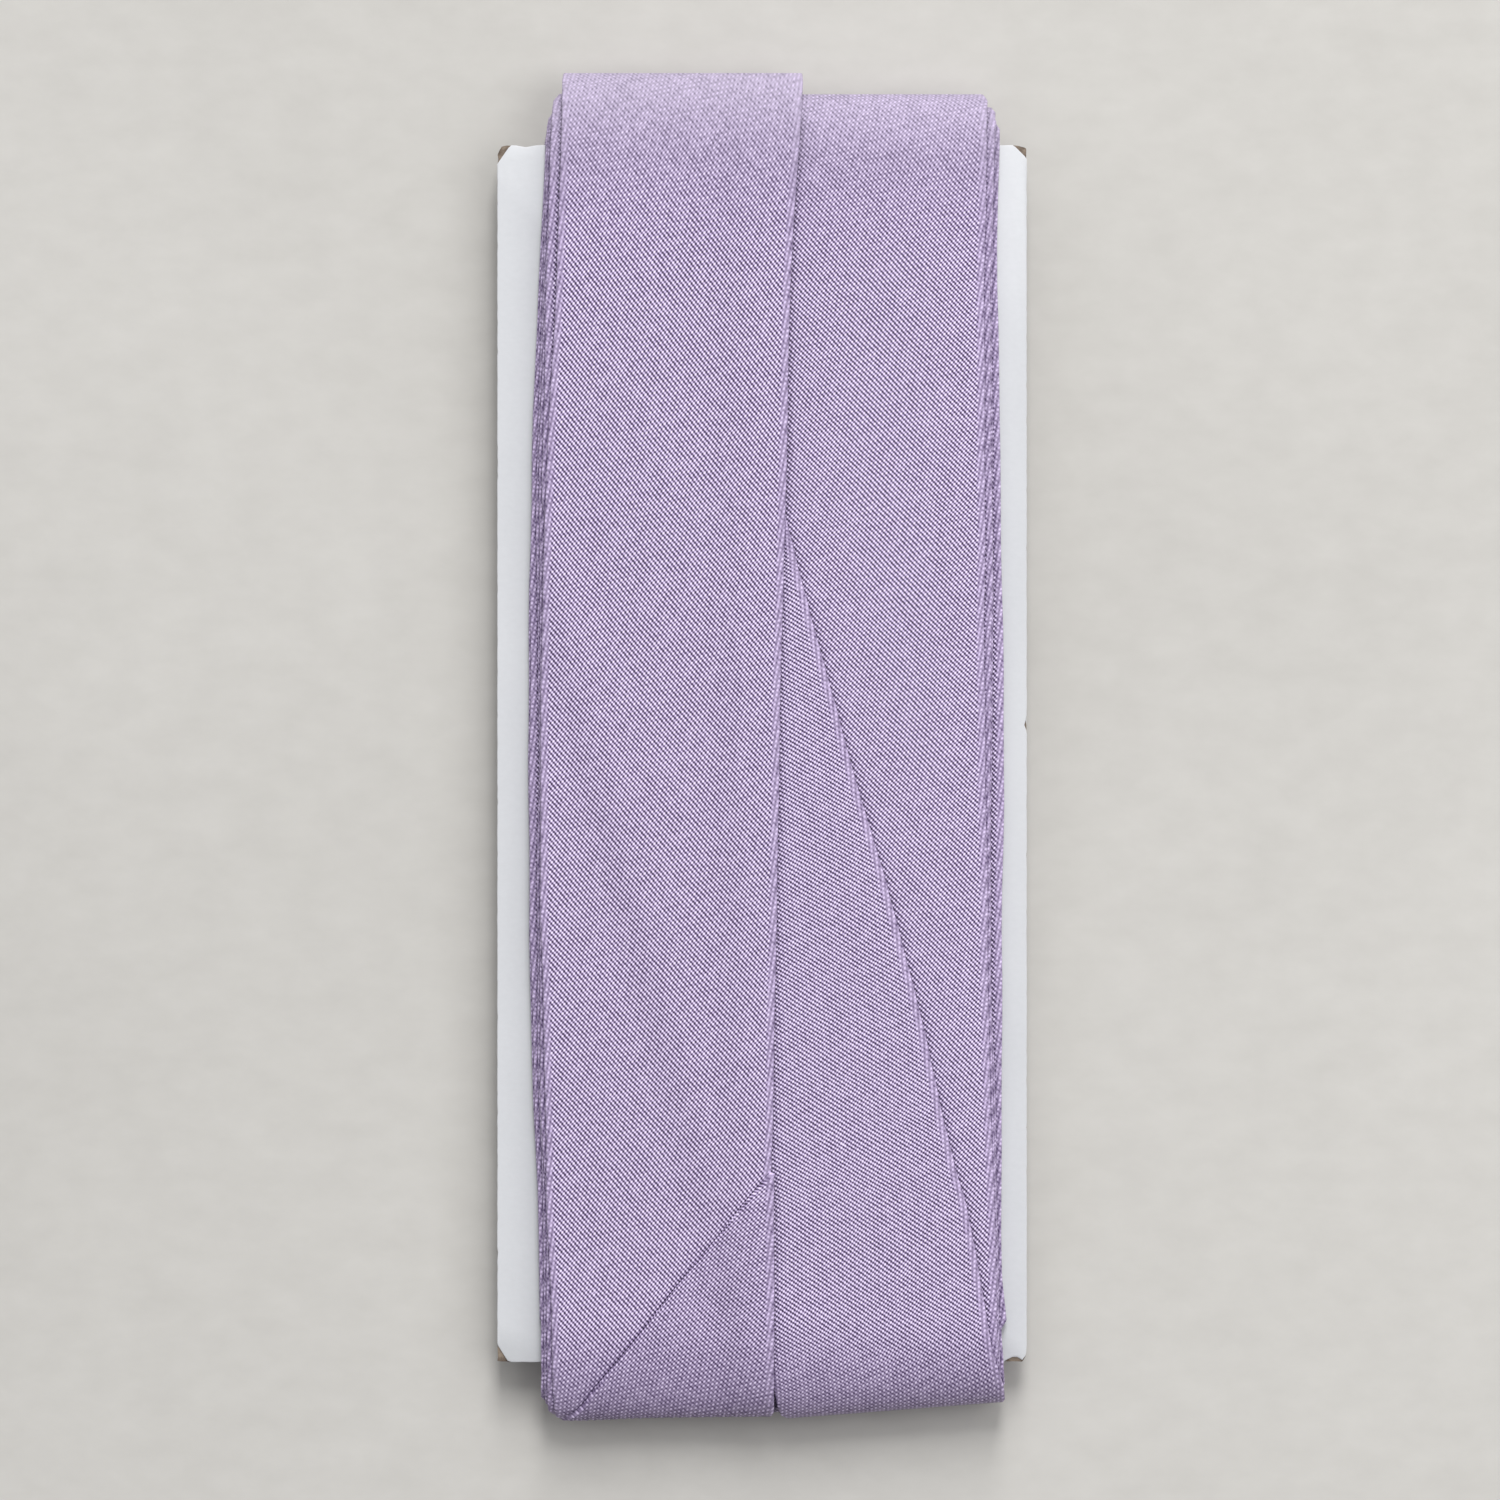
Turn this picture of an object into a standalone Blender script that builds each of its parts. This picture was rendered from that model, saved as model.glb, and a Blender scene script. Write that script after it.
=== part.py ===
"""Bias binding wound lengthwise round a card, lying on its back. Metres, +Z up, photo's top at +Y."""
import math
from collections import namedtuple

import bmesh
import bpy

# Driving sizes
CARD_WIDTH = 0.0552
CARD_LENGTH = 0.1268
CARD_THICKNESS = 0.0015
CARD_MIDDLE_Y = -0.0008
CARD_EDGE_ROUND = 0.0002
CORNER_CUT = 0.0009
CLEARANCE = 0.0003
LAYER = 0.0005
BACK_STACK = 0.0027
TAPE_EDGE_ROUND = 0.00024

# Heights that follow from them
CARD_LOW = BACK_STACK + CLEARANCE
CARD_HIGH = CARD_LOW + CARD_THICKNESS
STACK_BASE = CARD_HIGH + CLEARANCE

# A back strap's inner face, in layers of tape from the front stack's base
INSIDE_BACK = -6

# Mesh steps
LOOP_STEPS = 8
LOOP_SWEEP = math.radians(80)
EDGE_STEPS = 2
THIN_SHARE = 0.45
CAP_WELD = 0.00001
BEVEL_FROM = math.radians(60)
SHARP_FROM = math.radians(50)

LILAC = (0.45, 0.36, 0.58, 1.0)
COTTON_ROUGHNESS = 0.85
CARD_WHITE = (0.66, 0.67, 0.70, 1.0)
CARD_ROUGHNESS = 0.7

# A row is one place along a strap, from bottom to top: its two edges, and how many layers
# of tape lie between the card and its outer face at each edge.
Row = namedtuple("Row", "y left right layers_left layers_right")

# A strap is a full band round the card: its rows, where its end loops reach, how far its
# corners are rounded in plan at either end, and how far its back lies above the surface.
Strap = namedtuple("Strap", "rows top bottom top_corner bottom_corner back")

LEFT_UNDER = Strap(
    rows=(
        Row(y=-0.0640, left=-0.0232, right=0.0002, layers_left=2, layers_right=2),
        Row(y=-0.0473, left=-0.0234, right=0.0002, layers_left=2, layers_right=2),
        Row(y=-0.0265, left=-0.0241, right=0.0003, layers_left=2, layers_right=2),
        Row(y=0.0048, left=-0.0243, right=0.0004, layers_left=2, layers_right=2),
        Row(y=0.0256, left=-0.0241, right=0.0006, layers_left=2, layers_right=2),
        Row(y=0.0465, left=-0.0233, right=0.0012, layers_left=2, layers_right=2),
        Row(y=0.0625, left=-0.0226, right=0.0020, layers_left=2, layers_right=2),
    ),
    top=0.0664, bottom=-0.0682, top_corner=0.0014, bottom_corner=0.0014, back=0.0009)

LEFT_OVER = Strap(
    rows=(
        Row(y=-0.0640, left=-0.0227, right=0.0008, layers_left=4, layers_right=4),
        Row(y=-0.0473, left=-0.0229, right=0.0008, layers_left=4, layers_right=4),
        Row(y=-0.0160, left=-0.0233, right=0.0009, layers_left=4, layers_right=4),
        Row(y=0.0256, left=-0.0231, right=0.0014, layers_left=4, layers_right=4),
        Row(y=0.0465, left=-0.0226, right=0.0019, layers_left=4, layers_right=4),
        Row(y=0.0625, left=-0.0220, right=0.0026, layers_left=4, layers_right=4),
    ),
    top=0.0680, bottom=-0.0690, top_corner=0.0012, bottom_corner=0.0012, back=0.0007)

RIGHT_UNDER = Strap(
    rows=(
        Row(y=-0.0640, left=-0.0001, right=0.0251, layers_left=2.2, layers_right=2.2),
        Row(y=-0.0603, left=0.0001, right=0.0254, layers_left=2.2, layers_right=2.2),
        Row(y=-0.0530, left=-0.0001, right=0.0251, layers_left=2.2, layers_right=2.2),
        Row(y=-0.0369, left=-0.0001, right=0.0250, layers_left=2.2, layers_right=2.2),
        Row(y=-0.0055, left=-0.0001, right=0.0252, layers_left=2.2, layers_right=2.2),
        Row(y=0.0152, left=-0.0002, right=0.0250, layers_left=2.2, layers_right=2.2),
        Row(y=0.0465, left=-0.0004, right=0.0246, layers_left=2.2, layers_right=2.2),
        Row(y=0.0625, left=-0.0003, right=0.0248, layers_left=2.2, layers_right=2.2),
    ),
    top=0.0660, bottom=-0.0676, top_corner=0.0016, bottom_corner=0.0014, back=0.0010)

RIGHT_MIDDLE = Strap(
    rows=(
        Row(y=-0.0640, left=-0.0006, right=0.0245, layers_left=4.1, layers_right=4.1),
        Row(y=-0.0422, left=-0.0008, right=0.0242, layers_left=4.1, layers_right=4.1),
        Row(y=0.0048, left=-0.0010, right=0.0239, layers_left=4.1, layers_right=4.1),
        Row(y=0.0465, left=-0.0011, right=0.0238, layers_left=4.1, layers_right=4.1),
        Row(y=0.0625, left=-0.0008, right=0.0242, layers_left=4.1, layers_right=4.1),
    ),
    top=0.0669, bottom=-0.0685, top_corner=0.0014, bottom_corner=0.0012, back=0.0008)

RIGHT_OVER = Strap(
    rows=(
        Row(y=-0.0640, left=-0.0008, right=0.0243, layers_left=5, layers_right=5),
        Row(y=-0.0422, left=-0.0012, right=0.0240, layers_left=5, layers_right=5),
        Row(y=-0.0160, left=-0.0014, right=0.0235, layers_left=5, layers_right=5),
        Row(y=0.0465, left=-0.0016, right=0.0233, layers_left=5, layers_right=5),
        Row(y=0.0625, left=-0.0014, right=0.0235, layers_left=5, layers_right=5),
    ),
    top=0.0678, bottom=-0.0689, top_corner=0.0010, bottom_corner=0.0010, back=0.0006)

SLANTED = Strap(
    rows=(
        Row(y=-0.0640, left=0.0013, right=0.0245, layers_left=6, layers_right=6),
        Row(y=-0.0557, left=-0.0018, right=0.0232, layers_left=6, layers_right=6),
        Row(y=-0.0422, left=-0.0053, right=0.0206, layers_left=6, layers_right=6),
        Row(y=-0.0233, left=-0.0105, right=0.0154, layers_left=5.6, layers_right=6),
        Row(y=0.0006, left=-0.0172, right=0.0087, layers_left=5.2, layers_right=6),
        Row(y=0.0180, left=-0.0220, right=0.0037, layers_left=5, layers_right=6),
        Row(y=0.0256, left=-0.0229, right=0.0022, layers_left=5, layers_right=5.6),
        Row(y=0.0465, left=-0.0223, right=0.0026, layers_left=5, layers_right=5.5),
        Row(y=0.0625, left=-0.0216, right=0.0034, layers_left=5, layers_right=5.5),
    ),
    top=0.0688, bottom=-0.0700, top_corner=0.0010, bottom_corner=0.0008, back=0.0012)

TOP_STRAP = Strap(
    rows=(
        Row(y=-0.0640, left=-0.0219, right=0.0013, layers_left=5, layers_right=6.2),
        Row(y=-0.0577, left=-0.0220, right=0.0013, layers_left=5, layers_right=6.8),
        Row(y=-0.0436, left=-0.0225, right=0.0011, layers_left=5, layers_right=7),
        Row(y=-0.0265, left=-0.0228, right=0.0013, layers_left=5, layers_right=7),
        Row(y=-0.0160, left=-0.0231, right=0.0016, layers_left=5.2, layers_right=7),
        Row(y=0.0048, left=-0.0230, right=0.0019, layers_left=5.8, layers_right=7),
        Row(y=0.0256, left=-0.0226, right=0.0025, layers_left=6, layers_right=6.5),
        Row(y=0.0465, left=-0.0215, right=0.0030, layers_left=6, layers_right=6.4),
        Row(y=0.0625, left=-0.0210, right=0.0040, layers_left=6, layers_right=6.4),
    ),
    top=0.0700, bottom=-0.0699, top_corner=0.0004, bottom_corner=0.0014, back=0.0004)

LEFT_BACK = Strap(
    rows=(
        Row(y=-0.0590, left=-0.0236, right=0.0003, layers_left=INSIDE_BACK, layers_right=INSIDE_BACK),
        Row(y=0.0590, left=-0.0228, right=0.0005, layers_left=INSIDE_BACK, layers_right=INSIDE_BACK),
    ),
    top=0.0652, bottom=-0.0655, top_corner=0.0010, bottom_corner=0.0010, back=0.0)

RIGHT_BACK = Strap(
    rows=(
        Row(y=-0.0590, left=0.0009, right=0.0246, layers_left=INSIDE_BACK, layers_right=INSIDE_BACK),
        Row(y=0.0590, left=0.0008, right=0.0243, layers_left=INSIDE_BACK, layers_right=INSIDE_BACK),
    ),
    top=0.0650, bottom=-0.0655, top_corner=0.0010, bottom_corner=0.0010, back=0.0)

ADDED_STRAPS = (
    ("left_over", LEFT_OVER),
    ("right_under", RIGHT_UNDER),
    ("right_middle", RIGHT_MIDDLE),
    ("right_over", RIGHT_OVER),
    ("slanted", SLANTED),
    ("top_strap", TOP_STRAP),
    ("left_back", LEFT_BACK),
    ("right_back", RIGHT_BACK),
)


def clear_scene():
    """Start from an empty file."""
    for thing in list(bpy.data.objects):
        bpy.data.objects.remove(thing, do_unlink=True)


def new_collection(name):
    """A collection in the scene, by name."""
    group = bpy.data.collections.new(name)
    bpy.context.scene.collection.children.link(group)
    return group


def plain_material(name, colour, roughness):
    """A Principled BSDF of one colour."""
    material = bpy.data.materials.new(name)
    material.use_nodes = True
    shader = material.node_tree.nodes["Principled BSDF"]
    shader.inputs["Base Color"].default_value = colour
    shader.inputs["Roughness"].default_value = roughness
    shader.inputs["Metallic"].default_value = 0.0
    return material


def section(y, left, right, low, high_left, high_right):
    """A strap's cross-section at one place, as a closed ring of points with rounded edges."""
    height = min(high_left, high_right) - low
    radius = min(TAPE_EDGE_ROUND, THIN_SHARE * height)
    corners = (
        (left + radius, low + radius, math.pi),
        (right - radius, low + radius, 1.5 * math.pi),
        (right - radius, high_right - radius, 0.0),
        (left + radius, high_left - radius, 0.5 * math.pi),
    )
    ring = []
    for centre_x, centre_z, start in corners:
        for step in range(EDGE_STEPS + 1):
            angle = start + 0.5 * math.pi * step / EDGE_STEPS
            ring.append((centre_x + radius * math.cos(angle), y, centre_z + radius * math.sin(angle)))
    return ring


def corner_inset(y, end, radius):
    """How far a strap's edge is drawn in at y by the rounded corner of its end."""
    depth = radius - abs(end - y)
    if depth <= 0:
        return 0.0
    return radius - math.sqrt(max(radius * radius - depth * depth, 0.0))


def straight_sections(strap):
    """The sections between a strap's end loops."""
    rings = []
    for row in strap.rows:
        high_left = STACK_BASE + row.layers_left * LAYER
        high_right = STACK_BASE + row.layers_right * LAYER
        rings.append(section(row.y, row.left, row.right, strap.back, high_left, high_right))
    return rings


def loop_sections(strap, row, next_row, end, corner):
    """The sections round one end loop, from just past its last row to its tip."""
    high_left = STACK_BASE + row.layers_left * LAYER
    high_right = STACK_BASE + row.layers_right * LAYER
    middle = (strap.back + max(high_left, high_right)) / 2
    reach = end - row.y
    run = row.y - next_row.y
    rings = []
    for step in range(1, LOOP_STEPS + 1):
        angle = LOOP_SWEEP * step / LOOP_STEPS
        y = row.y + reach * math.sin(angle) / math.sin(LOOP_SWEEP)
        share = math.cos(angle)
        drift = (y - row.y) / run
        inset = corner_inset(y, end, corner)
        left = row.left + drift * (row.left - next_row.left) + inset
        right = row.right + drift * (row.right - next_row.right) - inset
        low = middle + share * (strap.back - middle)
        rings.append(section(y, left, right, low, middle + share * (high_left - middle),
                             middle + share * (high_right - middle)))
    return rings


def strap_object(name, strap, group, material):
    """A full band of tape round the card's place, lofted through its sections."""
    first, second = strap.rows[0], strap.rows[1]
    last, before = strap.rows[-1], strap.rows[-2]
    bottom = loop_sections(strap, first, second, strap.bottom, strap.bottom_corner)
    top = loop_sections(strap, last, before, strap.top, strap.top_corner)
    rings = bottom[::-1] + straight_sections(strap) + top
    shape = bmesh.new()
    loops = [[shape.verts.new(point) for point in ring] for ring in rings]
    for near, far in zip(loops, loops[1:]):
        for index in range(len(near)):
            after = (index + 1) % len(near)
            shape.faces.new((near[index], near[after], far[after], far[index]))
    shape.faces.new(loops[0])
    shape.faces.new(loops[-1])
    bmesh.ops.recalc_face_normals(shape, faces=shape.faces)
    mesh = bpy.data.meshes.new(name)
    shape.to_mesh(mesh)
    shape.free()
    mesh.shade_smooth()
    mesh.set_sharp_from_angle(angle=SHARP_FROM)
    mesh.materials.append(material)
    band = bpy.data.objects.new(name, mesh)
    group.objects.link(band)
    return band


def box_object(name, size, centre, group):
    """A box from Blender's cube, at its real size."""
    shape = bmesh.new()
    bmesh.ops.create_cube(shape, size=1.0)
    bmesh.ops.scale(shape, verts=shape.verts, vec=size)
    mesh = bpy.data.meshes.new(name)
    shape.to_mesh(mesh)
    shape.free()
    box = bpy.data.objects.new(name, mesh)
    box.location = centre
    group.objects.link(box)
    return box


def as_cutter(thing):
    """Show a helper as wires, and never render it."""
    thing.hide_render = True
    thing.display_type = "WIRE"
    return thing


def add_boolean(target, helper, operation):
    """Join a helper to the target, or cut it away."""
    modifier = target.modifiers.new(helper.name, "BOOLEAN")
    modifier.operation = operation
    modifier.solver = "EXACT"
    modifier.object = as_cutter(helper)


def make_card(group):
    """The board: a rectangle with crushed corners, both faces lined."""
    half_x = CARD_WIDTH / 2
    half_y = CARD_LENGTH / 2
    outline = []
    for side_x, side_y in ((-1, -1), (1, -1), (1, 1), (-1, 1)):
        along_x = (side_x * (half_x - CORNER_CUT), side_y * half_y)
        along_y = (side_x * half_x, side_y * (half_y - CORNER_CUT))
        outline += [along_y, along_x] if side_x * side_y > 0 else [along_x, along_y]
    outline_curve = bpy.data.curves.new("card_outline", "CURVE")
    outline_curve.dimensions = "2D"
    outline_curve.fill_mode = "BOTH"
    outline_curve.extrude = CARD_THICKNESS / 2
    spline = outline_curve.splines.new("POLY")
    spline.points.add(len(outline) - 1)
    for point, (x, y) in zip(spline.points, outline):
        point.co = (x, y, 0.0, 1.0)
    spline.use_cyclic_u = True
    card = bpy.data.objects.new("card", outline_curve)
    card.location = (0.0, CARD_MIDDLE_Y, (CARD_LOW + CARD_HIGH) / 2)
    group.objects.link(card)
    weld = card.modifiers.new("weld", "WELD")
    weld.merge_threshold = CAP_WELD
    bevel = card.modifiers.new("edges", "BEVEL")
    bevel.width = CARD_EDGE_ROUND
    bevel.segments = 2
    bevel.limit_method = "ANGLE"
    bevel.angle_limit = BEVEL_FROM
    outline_curve.materials.append(plain_material("card_white", CARD_WHITE, CARD_ROUGHNESS))
    return card


def make_binding(group, helpers):
    """The wound tape as one solid, with a slot through it where the card lies."""
    material = plain_material("lilac_cotton", LILAC, COTTON_ROUGHNESS)
    binding = strap_object("binding", LEFT_UNDER, group, material)
    for name, strap in ADDED_STRAPS:
        add_boolean(binding, strap_object(name, strap, helpers, material), "UNION")
    slot_size = (2 * CARD_WIDTH, CARD_LENGTH + 2 * CLEARANCE, CARD_THICKNESS + 2 * CLEARANCE)
    slot = box_object("card_slot", slot_size, (0.0, CARD_MIDDLE_Y, (CARD_LOW + CARD_HIGH) / 2), helpers)
    add_boolean(binding, slot, "DIFFERENCE")
    return binding


def main():
    """Build the card and the binding round it."""
    clear_scene()
    parts = new_collection("bias_binding_on_card")
    helpers = new_collection("cutters")
    make_card(parts)
    make_binding(parts, helpers)


main()
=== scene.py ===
"""Lilac bias binding wound lengthwise round a white-lined card, seen from straight above.

Metres, +Z up, with the top of the photograph at +Y.
"""
import math
from collections import namedtuple

import bpy
import numpy as np
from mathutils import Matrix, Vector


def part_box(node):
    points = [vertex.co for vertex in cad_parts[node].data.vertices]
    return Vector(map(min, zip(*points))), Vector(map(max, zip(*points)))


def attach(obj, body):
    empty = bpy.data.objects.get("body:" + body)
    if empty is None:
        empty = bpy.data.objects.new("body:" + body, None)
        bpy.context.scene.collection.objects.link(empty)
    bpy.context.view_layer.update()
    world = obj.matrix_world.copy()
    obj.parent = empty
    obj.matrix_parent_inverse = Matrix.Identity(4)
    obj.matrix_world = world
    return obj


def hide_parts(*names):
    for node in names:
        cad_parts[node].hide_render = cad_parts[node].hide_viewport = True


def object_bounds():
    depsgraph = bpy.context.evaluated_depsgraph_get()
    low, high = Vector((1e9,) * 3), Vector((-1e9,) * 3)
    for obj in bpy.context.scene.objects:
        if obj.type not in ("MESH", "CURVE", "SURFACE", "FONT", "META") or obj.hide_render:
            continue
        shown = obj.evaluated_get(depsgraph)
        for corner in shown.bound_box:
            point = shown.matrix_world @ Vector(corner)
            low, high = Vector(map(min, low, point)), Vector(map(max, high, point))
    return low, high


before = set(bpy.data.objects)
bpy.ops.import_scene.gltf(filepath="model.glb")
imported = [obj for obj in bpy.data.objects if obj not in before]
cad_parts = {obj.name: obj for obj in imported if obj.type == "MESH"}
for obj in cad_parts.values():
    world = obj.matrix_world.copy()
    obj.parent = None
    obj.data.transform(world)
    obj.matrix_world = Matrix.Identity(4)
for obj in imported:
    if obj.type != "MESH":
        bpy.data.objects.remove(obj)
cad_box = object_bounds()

SEED = 7

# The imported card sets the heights: tape lies just above it and just below it
card_low, card_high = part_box("card")
CLEARANCE = 0.0003
FRONT_BASE = card_high.z + CLEARANCE
BACK_BASE = card_low.z - CLEARANCE
TOP_Y = card_high.y
BOTTOM_Y = card_low.y
HEAD_BEND = 0.0012
FOOT_BEND = 0.0044

# The camera looks straight down from this far above the card's face
CAMERA_HEIGHT = 0.9
CAMERA_SIGHT = 20.0
CAMERA_X = -0.00125
CAMERA_Y = -0.00042
SENSOR = 36.0
FRAME_WIDTH = 0.15625

# The tape: cotton cut on the bias, both edges folded in to the middle
PLY = 0.0002
PLY_MIDDLE = 0.000115
FOLD_OUTER = PLY_MIDDLE + PLY / 2
FOLD_INNER = PLY_MIDDLE - PLY / 2
FLAP_STOP = 0.0005
LAYER = 0.0005
BACK_LAYER = 0.00045
TAPE_WIDTH = 0.0246
TAPE_LENGTH = 2.98
DRAPE_RUN = 0.0042
WAVER = 0.00004
BACK_WAVER = 0.00012

# A ripple of a strap's edge: metres for a radian, and its share of the waver
Ripple = namedtuple("Ripple", "run share")
RIPPLES = (Ripple(0.0061, 1.0), Ripple(0.0028, 1.0), Ripple(0.0009, 0.5))

# The stack's slight rise and fall. A swell has metres for a radian along x and y, and a phase.
UNEVEN = 0.00003
Swell = namedtuple("Swell", "run_x run_y phase")
SWELLS = (Swell(0.0052, 0.0135, 0.7), Swell(0.0091, -0.0104, 2.1))
DIMPLE_SHARE = 0.7
DIMPLE_RUN_X = 0.0036
DIMPLE_PHASE_X = 0.4
DIMPLE_RUN_Y = 0.0058
DIMPLE_PHASE_Y = 1.3

# How closely the tape is sampled
PATH_STEP = 0.00025
LOOP_SAMPLES = 64
SHOWN_STEP = 0.0008
HIDDEN_STEP = 0.0045
LOOP_STEP = 0.0010
SEAM_STEP = 0.0004
FACE_COLUMNS = 27
INNER_COLUMNS = 5
FLAP_COLUMNS = 3
FOLD_DEGREES = (60, 25, -15, -55)
SHARP_FOLD = math.radians(50)

# The diagonal join that shows on the last strap: its place and slope, and how it bends
SEAM_Y = -0.0583
SEAM_SLOPE = 1.18
SEAM_FADE = 0.030
SEAM_WOBBLE = 0.00009
SEAM_WOBBLE_RUN = 0.0014
SEAM_EASE = 0.5
SEAM_EASE_FROM = 0.0093

# Its raised side before it, and its groove, which is deeper at the left than at the right
SEAM_RAISE = 0.00034
SEAM_RAISE_RUN = 0.013
SEAM_RISE_RUN = 0.00035
SEAM_GROOVE = 0.00019
SEAM_GROOVE_WIDTH = 0.00018
SEAM_GROOVE_LEFT = 1.35
SEAM_GROOVE_FALL = 0.8
SEAM_GROOVE_MARKS = (-1.7, -1.2, -0.6, 0.0, 0.6, 1.2, 1.7)
SEAM_GROOVE_CLEAR = 2

# The cloth before it: pulled longer, set over, and wider at its right edge
SEAM_STRETCH = 1.08
SEAM_SHIFT = 0.00013
SEAM_WIDER = 0.00045
SEAM_WIDER_RUN = 0.05
SEAM_WIDER_POWER = 6
SLANT_SPAN = 60
TINY = 1e-9

# The weave drifts along the tape, as bias-cut cloth does when it is pulled
DRIFT = 0.05
DRIFT_PERIOD = 0.27

# One place along a strap with its two edges there, or with its outer edge alone
Row = namedtuple("Row", "y left right")
Edge = namedtuple("Edge", "y x")

# The straps whose face or right edge shows, from the card's foot to its head
LAST_STRAP = (
    Row(-0.0700, -0.0215, 0.0009),
    Row(-0.0660, -0.0218, 0.0009),
    Row(-0.0577, -0.0220, 0.0009),
    Row(-0.0454, -0.0225, 0.0009),
    Row(-0.0436, -0.0225, 0.0010),
    Row(-0.0265, -0.0228, 0.00135),
    Row(-0.0160, -0.0231, 0.0016),
    Row(0.0048, -0.0230, 0.0019),
    Row(0.0256, -0.0226, 0.0025),
    Row(0.0465, -0.0215, 0.0029),
    Row(0.0657, -0.0209, 0.0041),
    Row(0.0700, -0.0208, 0.0043),
)
SLANTED_STRAP = (
    Row(-0.0700, 0.0018, 0.0254),
    Row(-0.0687, 0.0017, 0.0253),
    Row(-0.0674, 0.0014, 0.0252),
    Row(-0.0659, 0.0010, 0.0247),
    Row(-0.0632, 0.0002, 0.0240),
    Row(-0.0603, -0.0008, 0.0236),
    Row(-0.0561, -0.0020, 0.0229),
    Row(-0.0478, -0.0040, 0.0212),
    Row(-0.0442, -0.0051, 0.0202),
    Row(-0.0233, -0.0105, 0.0154),
    Row(0.0006, -0.0170, 0.0086),
    Row(0.0150, -0.0207, 0.0048),
    Row(0.0225, -0.0223, 0.0028),
    Row(0.0256, -0.0229, 0.0022),
    Row(0.0465, -0.0225, 0.0024),
    Row(0.0651, -0.0219, 0.0030),
    Row(0.0700, -0.0217, 0.0032),
)
RIGHT_TOP_STRAP = (
    Row(-0.0700, -0.0006, 0.0246),
    Row(-0.0660, -0.0007, 0.0246),
    Row(-0.0588, -0.0008, 0.0245),
    Row(-0.0525, -0.0010, 0.0243),
    Row(-0.0436, -0.0012, 0.02405),
    Row(-0.0317, -0.0014, 0.0237),
    Row(-0.0192, -0.0015, 0.0235),
    Row(-0.0035, -0.0016, 0.0233),
    Row(0.0150, -0.0016, 0.0232),
    Row(0.0460, -0.0016, 0.0232),
    Row(0.0673, -0.0014, 0.0235),
    Row(0.0700, -0.0014, 0.0236),
)

# Edges that fan out beside them: outer and inner at the left, outer and middle at the right
LEFT_OUTER = (
    Edge(-0.0700, -0.0232),
    Edge(-0.0577, -0.0232),
    Edge(-0.0473, -0.0234),
    Edge(-0.0369, -0.0238),
    Edge(-0.0265, -0.0241),
    Edge(-0.0160, -0.0243),
    Edge(0.0048, -0.0243),
    Edge(0.0256, -0.0241),
    Edge(0.0465, -0.0233),
    Edge(0.0651, -0.0225),
    Edge(0.0700, -0.0223),
)
LEFT_INNER = (
    Edge(-0.0700, -0.0226),
    Edge(-0.0577, -0.0227),
    Edge(-0.0473, -0.0228),
    Edge(-0.0369, -0.0233),
    Edge(-0.0160, -0.0234),
    Edge(0.0048, -0.0233),
    Edge(0.0256, -0.0235),
    Edge(0.0465, -0.0229),
    Edge(0.0651, -0.0222),
    Edge(0.0700, -0.0221),
)
RIGHT_OUTER = (
    Edge(-0.0700, 0.0254),
    Edge(-0.0645, 0.0252),
    Edge(-0.0608, 0.0249),
    Edge(-0.0600, 0.0255),
    Edge(-0.0577, 0.0253),
    Edge(-0.0546, 0.02503),
    Edge(-0.0452, 0.02494),
    Edge(-0.0265, 0.0250),
    Edge(-0.0004, 0.0252),
    Edge(0.0121, 0.0251),
    Edge(0.0256, 0.0249),
    Edge(0.0433, 0.0246),
    Edge(0.0465, 0.0245),
    Edge(0.0651, 0.0248),
    Edge(0.0700, 0.0249),
)
RIGHT_MIDDLE = (
    Edge(-0.0700, 0.0248),
    Edge(-0.0577, 0.0246),
    Edge(-0.0430, 0.0243),
    Edge(-0.0192, 0.02375),
    Edge(0.0048, 0.02385),
    Edge(0.0152, 0.0240),
    Edge(0.0465, 0.0238),
    Edge(0.0660, 0.02435),
    Edge(0.0700, 0.0245),
)

# The two columns' hidden edges keep to their own sides of this line
COLUMN_LINE = (
    Edge(-0.0700, 0.0009),
    Edge(0.0000, 0.0006),
    Edge(0.0650, 0.0014),
    Edge(0.0700, 0.0015),
)
COLUMN_GAP = 0.00012

# Each hidden strap of a column follows one of the edges above, moved by this much in x
LEFT_STRAPS = (
    (LEFT_OUTER, 0.0),
    (LEFT_OUTER, 0.00012),
    (LEFT_INNER, 0.0),
    (LEFT_INNER, 0.00025),
)
RIGHT_STRAPS = (
    (RIGHT_OUTER, -0.00010),
    (RIGHT_OUTER, 0.0),
    (RIGHT_MIDDLE, 0.00012),
    (RIGHT_MIDDLE, 0.0),
)

# The straps down the back, and the one that crosses from the left column to the right one
LEFT_BACK = (
    Row(-0.0700, -0.0235, 0.0003),
    Row(0.0700, -0.0227, 0.0010),
)
RIGHT_BACK = (
    Row(-0.0700, 0.0010, 0.0248),
    Row(0.0700, 0.0017, 0.0244),
)
CROSSING_BACK = (
    Row(-0.0700, 0.0010, 0.0248),
    Row(-0.0600, 0.0002, 0.0240),
    Row(0.0600, -0.0220, 0.0020),
    Row(0.0700, -0.0227, 0.0012),
)
CROSSING_START = 0.0012
CROSSING_RUN = 0.004
BACKS_A_COLUMN = 5

# One end loop: how far it stands past the card's end, and how far its corner is rounded in
# plan, at its left edge and at its right
Loop = namedtuple("Loop", "reach_left reach_right corner_left corner_right")

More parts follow.
